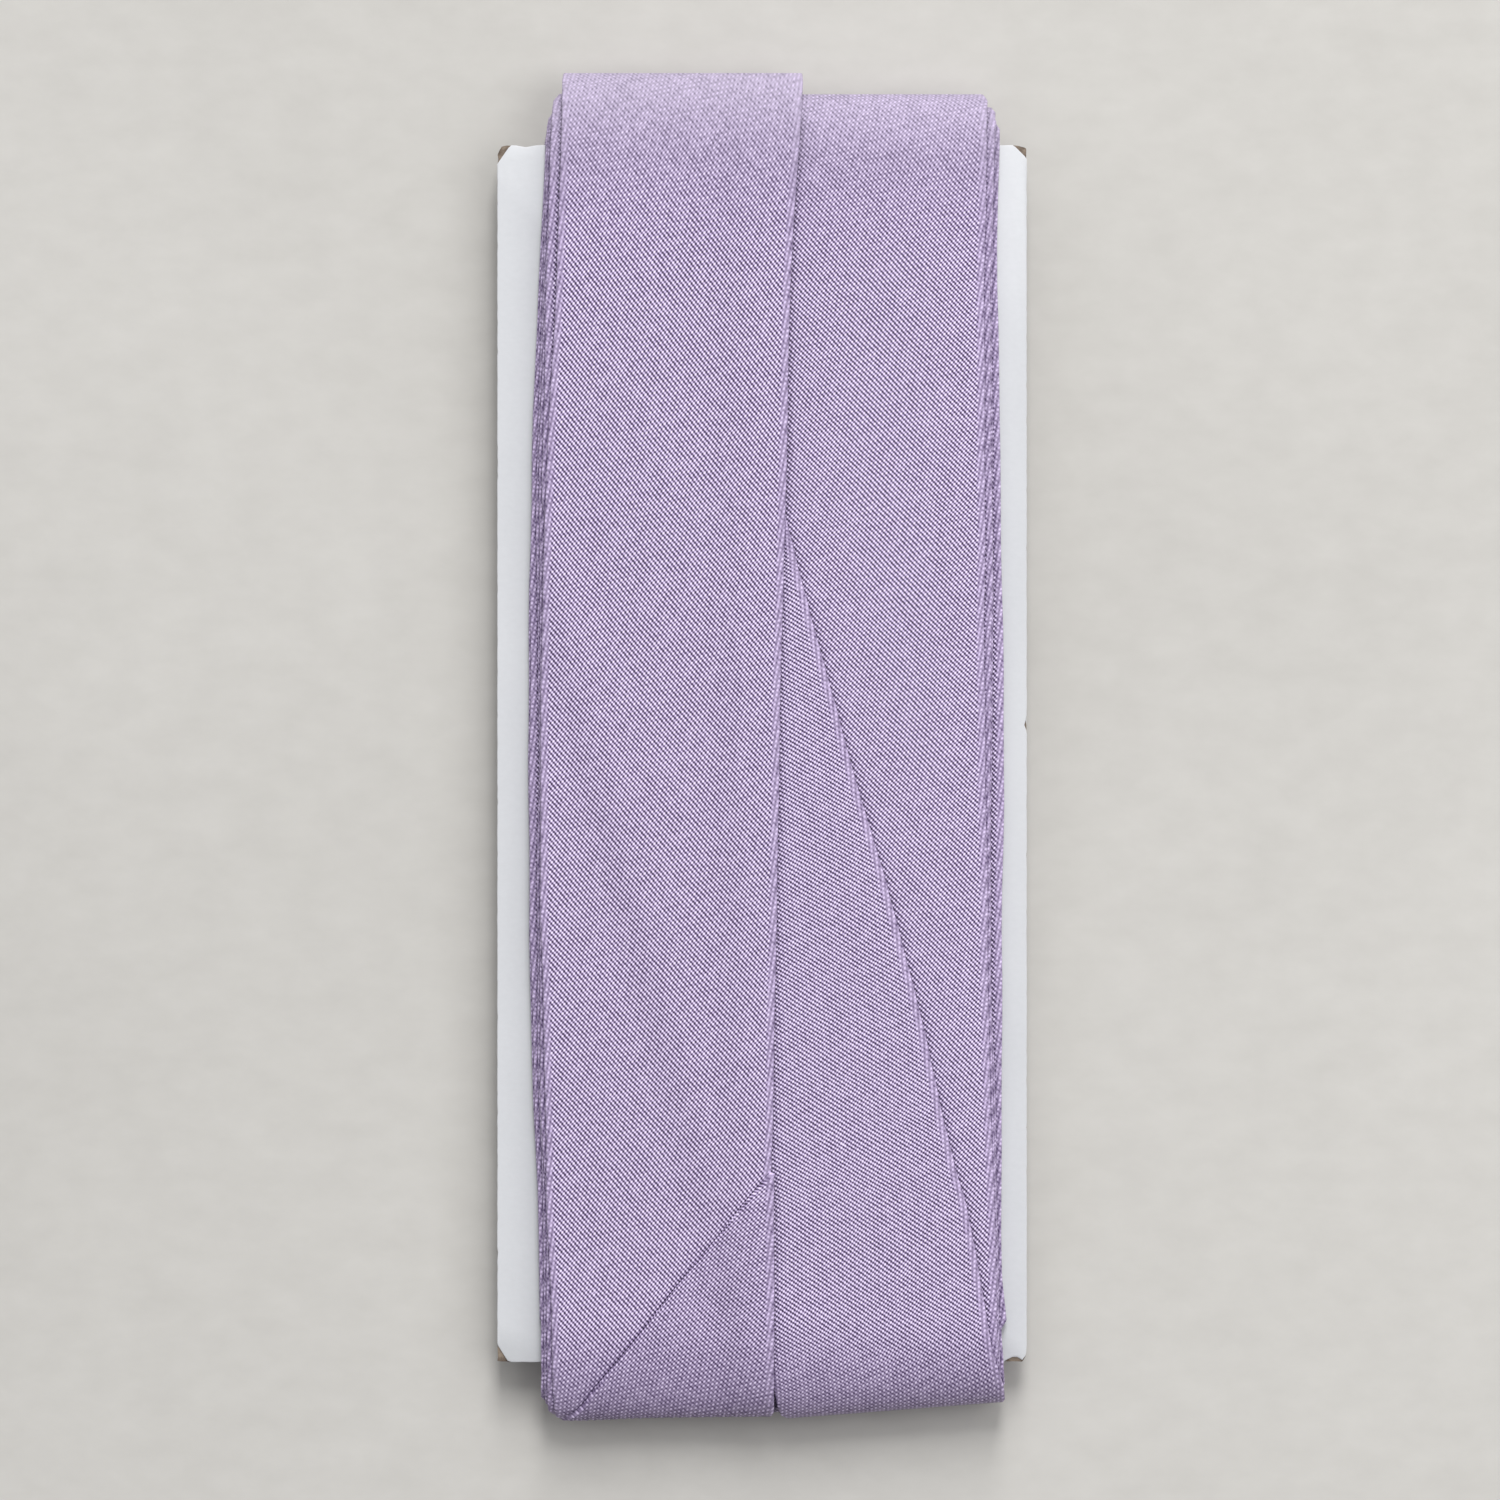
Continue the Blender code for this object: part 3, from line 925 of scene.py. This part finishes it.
# Where it turns over the card's ends and at its pressed folds, the weave fades, and with it the painted
# shade in its gaps; the folds are also lightened as a painted highlight
HEAD_FROM = 0.0475
HEAD_TO = 0.0735
HEAD_CALM = 0.55
FOOT_FROM = 0.0600
FOOT_TO = 0.0705
TURN_FADE = 0.88
FOLD_FROM = 0.940
FOLD_TO = 0.974
FOLD_FADE = 0.80
FOLD_HIGHLIGHT = 0.03
JOIN_FADE = 0.20
JOIN_SHADE = 0.018
# Painted shade in the crevices: the cloth darkens by how closed in a point is, within this reach
CREVICE_REACH = 0.0010
CREVICE_SHADE = 0.43
CREVICE_SAMPLES = 8

# Its sheen and relief
COTTON_ROUGHNESS = 0.68
COTTON_SPECULAR = 0.5
COTTON_SHEEN = 0.12
COTTON_SHEEN_ROUGHNESS = 0.45
BUMP_DEPTH = 0.00006
BUMP_STRENGTH = 0.8
COARSE_RELIEF = 0.62
FINE_RELIEF = 0.34
FIBRE_RELIEF = 0.15

# The card's two papers and the table
LINER_WHITE = (0.590, 0.603, 0.629, 1.0)
LINER_SHADE = (0.555, 0.568, 0.594, 1.0)
CORE_LIGHT = (0.250, 0.200, 0.155, 1.0)
CORE_DARK = (0.075, 0.052, 0.040, 1.0)
FLOOR_LIGHT = (0.545, 0.534, 0.512, 1.0)
FLOOR_SHADE = (0.488, 0.477, 0.455, 1.0)
SHADE_TONE = 0.35
LIGHT_TONE = 0.65

# A paper's kind: how fine its clouds are, how rough it is, and how deep its tooth
Paper = namedtuple("Paper", "light shade cloud_scale roughness tooth_depth")
LINER_PAPER = Paper(LINER_WHITE, LINER_SHADE, 60.0, 0.6, 0.00001)
TABLE_PAPER = Paper(FLOOR_LIGHT, FLOOR_SHADE, 9.0, 0.8, 0.00002)
PAPER_SPECULAR = 0.3
PAPER_DETAIL = 4.0
PAPER_CLOUDS = 0.6
TOOTH_STRETCH = (1.0, 1.6, 1.0)
TOOTH_FINER = 22
TOOTH_DETAIL = 3.0
TOOTH_ROUGHNESS = 0.6
TOOTH_SHARE = 0.4
TOOTH_STRENGTH = 0.5

# The board's cut edge, layered like the plies that it is pressed from
PLY_STRETCH = (1.0, 1.0, 9.0)
PLY_SCALE = 900.0
PLY_DETAIL = 4.0
PLY_ROUGHNESS = 0.7
PLY_DEPTH = 0.00005
PLY_STRENGTH = 0.8
BOARD_ROUGHNESS = 0.95


class Field:
    """A value that varies over a surface: one output of a material's nodes."""

    def __init__(self, tree, socket):
        self.tree = tree
        self.socket = socket

    def node(self, operation, *others):
        """A Math node fed by this field and by numbers or other fields."""
        made = self.tree.nodes.new("ShaderNodeMath")
        made.operation = operation
        for entry, value in zip(made.inputs, (self, *others)):
            if isinstance(value, Field):
                self.tree.links.new(value.socket, entry)
            else:
                entry.default_value = value
        return Field(self.tree, made.outputs[0])

    def __add__(self, other):
        return self.node("ADD", other)

    def __sub__(self, other):
        return self.node("SUBTRACT", other)

    def __mul__(self, other):
        return self.node("MULTIPLY", other)

    def rest(self):
        """1 less the field."""
        return self * -1.0 + 1.0

    def ridge(self):
        """0 at whole numbers and 1 halfway between them, rounded like a thread."""
        return (self * math.pi).node("SINE").node("ABSOLUTE")

    def wave(self):
        """1 at whole numbers and -1 halfway between them."""
        return (self * (2 * math.pi)).node("COSINE")

    def smooth(self, low, high):
        """0 below low, 1 above high, and smooth between."""
        made = self.tree.nodes.new("ShaderNodeMapRange")
        made.interpolation_type = "SMOOTHSTEP"
        self.tree.links.new(self.socket, made.inputs["Value"])
        made.inputs["From Min"].default_value = low
        made.inputs["From Max"].default_value = high
        return Field(self.tree, made.outputs["Result"])


def new_material(name):
    """A material with its shader, ready for fields."""
    material = bpy.data.materials.new(name)
    material.use_nodes = True
    return material, material.node_tree, material.node_tree.nodes["Principled BSDF"]


def stretched_place(tree, socket, scale):
    """A place scaled along each axis."""
    made = tree.nodes.new("ShaderNodeMapping")
    made.inputs["Scale"].default_value = scale
    tree.links.new(socket, made.inputs["Vector"])
    return made.outputs["Vector"]


def noise(tree, place, scale, detail=2.0, roughness=0.5):
    """Cloudy noise from 0 to 1."""
    made = tree.nodes.new("ShaderNodeTexNoise")
    made.inputs["Scale"].default_value = scale
    made.inputs["Detail"].default_value = detail
    made.inputs["Roughness"].default_value = roughness
    tree.links.new(place, made.inputs["Vector"])
    return Field(tree, made.outputs["Fac"])


def chance(tree, across_threads, along_threads):
    """One chance value for each cell of the weave, from 0 to 1."""
    made = tree.nodes.new("ShaderNodeTexWhiteNoise")
    made.noise_dimensions = "2D"
    cell = place_on_threads(tree, across_threads.node("FLOOR"), along_threads.node("FLOOR"))
    tree.links.new(cell, made.inputs["Vector"])
    return Field(tree, made.outputs["Value"])


def place_on_threads(tree, across_threads, along_threads):
    """A place from two phases, for noise that runs with the threads."""
    made = tree.nodes.new("ShaderNodeCombineXYZ")
    tree.links.new(across_threads.socket, made.inputs["X"])
    tree.links.new(along_threads.socket, made.inputs["Y"])
    return made.outputs["Vector"]


def ramp(tree, field, stops):
    """Colours along a field."""
    made = tree.nodes.new("ShaderNodeValToRGB")
    tree.links.new(field.socket, made.inputs["Fac"])
    elements = made.color_ramp.elements
    while len(elements) < len(stops):
        elements.new(0.5)
    for element, (position, colour) in zip(elements, stops):
        element.position = position
        element.color = colour
    return made.outputs["Color"]


def bump(tree, shader, height, depth, strength):
    """Relief from a field of heights from 0 to 1."""
    made = tree.nodes.new("ShaderNodeBump")
    made.inputs["Strength"].default_value = strength
    made.inputs["Distance"].default_value = depth
    tree.links.new(height.socket, made.inputs["Height"])
    tree.links.new(made.outputs["Normal"], shader.inputs["Normal"])


def turned_over(tree):
    """0 where the cloth lies flat, rising to 1 where it turns over the card's head and its foot."""
    place = tree.nodes.new("ShaderNodeTexCoord").outputs["Object"]
    parts = tree.nodes.new("ShaderNodeSeparateXYZ")
    tree.links.new(place, parts.inputs["Vector"])
    headward = Field(tree, parts.outputs["Y"])
    return headward.smooth(HEAD_FROM, HEAD_TO), (headward * -1).smooth(FOOT_FROM, FOOT_TO)


def with_painted_sheen(tree, colour, amount):
    """The colour, mixed with a greyer one: a painted sheen."""
    made = tree.nodes.new("ShaderNodeMix")
    made.data_type = "RGBA"
    tree.links.new(amount.socket, made.inputs["Factor"])
    tree.links.new(colour, made.inputs["A"])
    made.inputs["B"].default_value = LILAC_SHEEN_GREY
    return made.outputs["Result"]


def banded(tree):
    """How near the tape's folded edges a point lies, and how near before the join: 0 to 1."""
    band = tree.nodes.new("ShaderNodeUVMap")
    band.uv_map = "band"
    parts = tree.nodes.new("ShaderNodeSeparateXYZ")
    tree.links.new(band.outputs["UV"], parts.inputs["Vector"])
    return Field(tree, parts.outputs["X"]).smooth(FOLD_FROM, FOLD_TO), Field(tree, parts.outputs["Y"])


def crevice(tree):
    """How deep in a crevice a point lies: 0 in the open, up to 1."""
    made = tree.nodes.new("ShaderNodeAmbientOcclusion")
    made.samples = CREVICE_SAMPLES
    made.inputs["Distance"].default_value = CREVICE_REACH
    return Field(tree, made.outputs["AO"]).rest()


def astray(tree, cloth, scale):
    """How far the threads stray from straight, in threads."""
    return (noise(tree, cloth, scale) - 0.5) * ASTRAY


def thread_counts(tree, cloth):
    """How many coarse threads, and how many fine ones, lie between the map's corner and a point."""
    parts = tree.nodes.new("ShaderNodeSeparateXYZ")
    tree.links.new(cloth, parts.inputs["Vector"])
    width = Field(tree, parts.outputs["X"])
    length = Field(tree, parts.outputs["Y"])
    coarse = width * (math.cos(COARSE_ANGLE) / COARSE_PITCH)
    coarse = coarse + length * (math.sin(COARSE_ANGLE) / COARSE_PITCH)
    fine = width * (math.cos(FINE_ANGLE) / FINE_PITCH)
    fine = fine - length * (math.sin(FINE_ANGLE) / FINE_PITCH)
    coarse = coarse + astray(tree, cloth, COARSE_ASTRAY_SCALE)
    return coarse, fine + astray(tree, cloth, FINE_ASTRAY_SCALE)


def weave(tree, coarse, fine, over_head, over_foot):
    """The tone of the threads as they pass over and under, with painted shade in their gaps and painted
    light on their crowns, where they fade, and at the join.
    """
    near_fold, before_join = banded(tree)
    kept = ((over_head + over_foot) * TURN_FADE).rest() * (near_fold * FOLD_FADE).rest()
    # Painted highlight on the thread crossings at the foot
    foot_highlights = (coarse * math.pi).node("SINE") * (fine * math.pi).node("SINE") * -1
    foot_highlights = (foot_highlights.node("MAXIMUM", 0.0) - FOOT_CROSSING_HIGHLIGHT_MEAN) * over_foot * FOOT_CROSSING_HIGHLIGHT
    waves = coarse.wave() * -COARSE_WAVE * (before_join * JOIN_FADE).rest()
    waves = (waves + fine.wave() * -FINE_WAVE) * kept
    # Painted light and shade on the crowns, partly the yarns' own twist; none at the foot and less at
    # the head
    crowns = ((coarse + fine) * math.pi).node("COSINE") * (kept.rest() * CROWN_WHERE_FADED + CROWN)
    crowns = crowns + ((coarse - fine) * math.pi).node("COSINE") * -CROSS_WAVE
    waves = waves + crowns * over_foot.rest() * (over_head * HEAD_CALM).rest() + foot_highlights
    # The folded edges are lightened: a painted highlight
    return waves + near_fold * FOLD_HIGHLIGHT - before_join * JOIN_SHADE


def slubs(tree, coarse, fine):
    """1 in a thicker stretch of thread, and 0 elsewhere."""
    place = place_on_threads(tree, coarse, fine * SLUB_ALONG)
    return noise(tree, place, SLUB_SCALE, FLAW_DETAIL).smooth(SLUB_FROM, SLUB_TO)


def flecks(tree, coarse, fine):
    """1 in a pale fleck, and 0 elsewhere."""
    place = place_on_threads(tree, coarse * FLECK_ACROSS, fine * FLECK_ALONG)
    return noise(tree, place, FLECK_SCALE, FLAW_DETAIL).smooth(FLECK_FROM, FLECK_TO)


def cotton():
    """Plain-woven lilac cotton cut on the bias, in coarse threads one way and fine ones across."""
    material, tree, shader = new_material("lilac_cotton")
    cloth_map = tree.nodes.new("ShaderNodeUVMap")
    cloth_map.uv_map = "cloth"
    cloth = cloth_map.outputs["UV"]
    coarse, fine = thread_counts(tree, cloth)
    over_head, over_foot = turned_over(tree)
    thread = coarse.ridge()
    pick = fine.ridge()
    fibre_place = place_on_threads(tree, coarse * FIBRE_ACROSS, fine * FIBRE_ALONG)
    fibres = noise(tree, fibre_place, FIBRE_SCALE, FIBRE_DETAIL, FIBRE_ROUGHNESS)
    cloud = noise(tree, cloth, CLOUD_SCALE, CLOUD_DETAIL)
    tone = weave(tree, coarse, fine, over_head, over_foot) + TONE_MIDDLE
    tone = tone + thread * pick * (chance(tree, coarse, fine) - 0.5) * CROSSING_CHANCE
    tone = tone + (chance(tree, coarse + 0.5, fine + 0.5) - 0.5) * thread.rest() * THREAD_CHANCE
    tone = tone + (fibres - 0.5) * FIBRE_SHARE + (cloud - 0.5) * CLOUD_SHARE
    tone = tone + slubs(tree, coarse, fine) * SLUB_SHARE + flecks(tree, coarse, fine) * FLECK_SHARE
    # Painted shade in the crevices by the straps' edges
    tone = tone - crevice(tree) * CREVICE_SHADE
    # Greyer where it turns over the head: a painted sheen
    colour = with_painted_sheen(tree, ramp(tree, tone, LILAC_TONES), over_head * over_head * HEAD_SHEEN_SHARE)
    tree.links.new(colour, shader.inputs["Base Color"])
    shader.inputs["Roughness"].default_value = COTTON_ROUGHNESS
    shader.inputs["Specular IOR Level"].default_value = COTTON_SPECULAR
    shader.inputs["Sheen Weight"].default_value = COTTON_SHEEN
    shader.inputs["Sheen Roughness"].default_value = COTTON_SHEEN_ROUGHNESS
    height = thread * COARSE_RELIEF + pick * FINE_RELIEF + fibres * FIBRE_RELIEF
    bump(tree, shader, height, BUMP_DEPTH, BUMP_STRENGTH)
    return material


def paper(name, kind):
    """Matt paper: faint clouds, fibres and a slight tooth."""
    material, tree, shader = new_material(name)
    place = tree.nodes.new("ShaderNodeTexCoord").outputs["Object"]
    cloud = noise(tree, place, kind.cloud_scale, PAPER_DETAIL, TOOTH_ROUGHNESS)
    drawn_out = stretched_place(tree, place, TOOTH_STRETCH)
    tooth = noise(tree, drawn_out, kind.cloud_scale * TOOTH_FINER, TOOTH_DETAIL, TOOTH_ROUGHNESS)
    tone = cloud * PAPER_CLOUDS + tooth * TOOTH_SHARE
    colour = ramp(tree, tone, ((SHADE_TONE, kind.shade), (LIGHT_TONE, kind.light)))
    tree.links.new(colour, shader.inputs["Base Color"])
    shader.inputs["Roughness"].default_value = kind.roughness
    shader.inputs["Specular IOR Level"].default_value = PAPER_SPECULAR
    bump(tree, shader, tooth, kind.tooth_depth, TOOTH_STRENGTH)
    return material


def cut_board():
    """The board's cut edge: pressed fibres, darker in the hollows."""
    material, tree, shader = new_material("board_core")
    place = tree.nodes.new("ShaderNodeTexCoord").outputs["Object"]
    plies = noise(tree, stretched_place(tree, place, PLY_STRETCH), PLY_SCALE, PLY_DETAIL, PLY_ROUGHNESS)
    colour = ramp(tree, plies, ((SHADE_TONE, CORE_DARK), (LIGHT_TONE, CORE_LIGHT)))
    tree.links.new(colour, shader.inputs["Base Color"])
    shader.inputs["Roughness"].default_value = BOARD_ROUGHNESS
    bump(tree, shader, plies, PLY_DEPTH, PLY_STRENGTH)
    return material


# The room: its floor, and a sky that is darkest behind the card's foot and brightest past its head
FLOOR_HALF = 3.0
SKY_COLOUR = (0.985, 0.99, 1.0, 1.0)
SKY_DARK = 0.12
SKY_BRIGHT = 0.92

# Its two lamps, in watts and metres
LAMP_COLOUR = (1.0, 0.99, 0.975)
KEY_POWER = 29.2
KEY_WIDTH = 0.5
KEY_HEIGHT = 1.3
KEY_PLACE = (0.12, 1.36, 1.14)
SIDE_POWER = 1.15
SIDE_WIDTH = 0.45
SIDE_HEIGHT = 0.45
SIDE_PLACE = (0.38, 0.05, 0.50)


def make_floor(material):
    """A plain pale floor."""
    mesh = bpy.data.meshes.new("floor")
    corners = [(-FLOOR_HALF, -FLOOR_HALF, 0.0), (FLOOR_HALF, -FLOOR_HALF, 0.0),
               (FLOOR_HALF, FLOOR_HALF, 0.0), (-FLOOR_HALF, FLOOR_HALF, 0.0)]
    mesh.from_pydata(corners, [], [(0, 1, 2, 3)])
    mesh.materials.append(material)
    floor = bpy.data.objects.new("floor", mesh)
    bpy.context.scene.collection.objects.link(floor)


def point_at(thing, target):
    """Turn a light or camera towards a point."""
    aim = target - thing.location
    thing.rotation_euler = aim.to_track_quat("-Z", "Y").to_euler()


def make_lamp(name, power, width, height, place):
    """A soft light that faces the card."""
    light = bpy.data.lights.new(name, "AREA")
    light.shape = "RECTANGLE"
    light.size = width
    light.size_y = height
    light.energy = power
    light.color = LAMP_COLOUR
    lamp = bpy.data.objects.new(name, light)
    lamp.location = place
    bpy.context.scene.collection.objects.link(lamp)
    point_at(lamp, (cad_box[0] + cad_box[1]) / 2)


def make_light():
    """Soft daylight from beyond the card's head, and a little from its right."""
    world = bpy.data.worlds.new("room")
    world.use_nodes = True
    background = world.node_tree.nodes["Background"]
    background.inputs["Color"].default_value = SKY_COLOUR
    direction = world.node_tree.nodes.new("ShaderNodeTexCoord")
    parts = world.node_tree.nodes.new("ShaderNodeSeparateXYZ")
    glow = world.node_tree.nodes.new("ShaderNodeMapRange")
    # Y is -1 straight towards the card's foot and 1 straight towards its head
    glow.inputs["From Min"].default_value = -1.0
    glow.inputs["To Min"].default_value = SKY_DARK
    glow.inputs["To Max"].default_value = SKY_BRIGHT
    world.node_tree.links.new(direction.outputs["Generated"], parts.inputs["Vector"])
    world.node_tree.links.new(parts.outputs["Y"], glow.inputs["Value"])
    world.node_tree.links.new(glow.outputs["Result"], background.inputs["Strength"])
    bpy.context.scene.world = world
    make_lamp("window", KEY_POWER, KEY_WIDTH, KEY_HEIGHT, KEY_PLACE)
    make_lamp("side_window", SIDE_POWER, SIDE_WIDTH, SIDE_HEIGHT, SIDE_PLACE)


def make_camera():
    """The photograph's camera, straight above."""
    lens = bpy.data.cameras.new("camera")
    lens.sensor_width = SENSOR
    lens.lens = SENSOR * CAMERA_HEIGHT / FRAME_WIDTH
    lens.clip_end = CAMERA_SIGHT
    camera = bpy.data.objects.new("camera", lens)
    camera.location = (CAMERA_X, CAMERA_Y, card_high.z + CAMERA_HEIGHT)
    bpy.context.scene.collection.objects.link(camera)
    bpy.context.scene.camera = camera


make_camera()
bpy.context.scene.view_settings.view_transform = "Standard"

tape = make_tape(cotton())
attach(tape, "root")
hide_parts("binding")

board = make_card(paper("white_liner", LINER_PAPER), cut_board())
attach(board, "root")
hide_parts("card")

make_floor(paper("pale_table", TABLE_PAPER))
make_light()
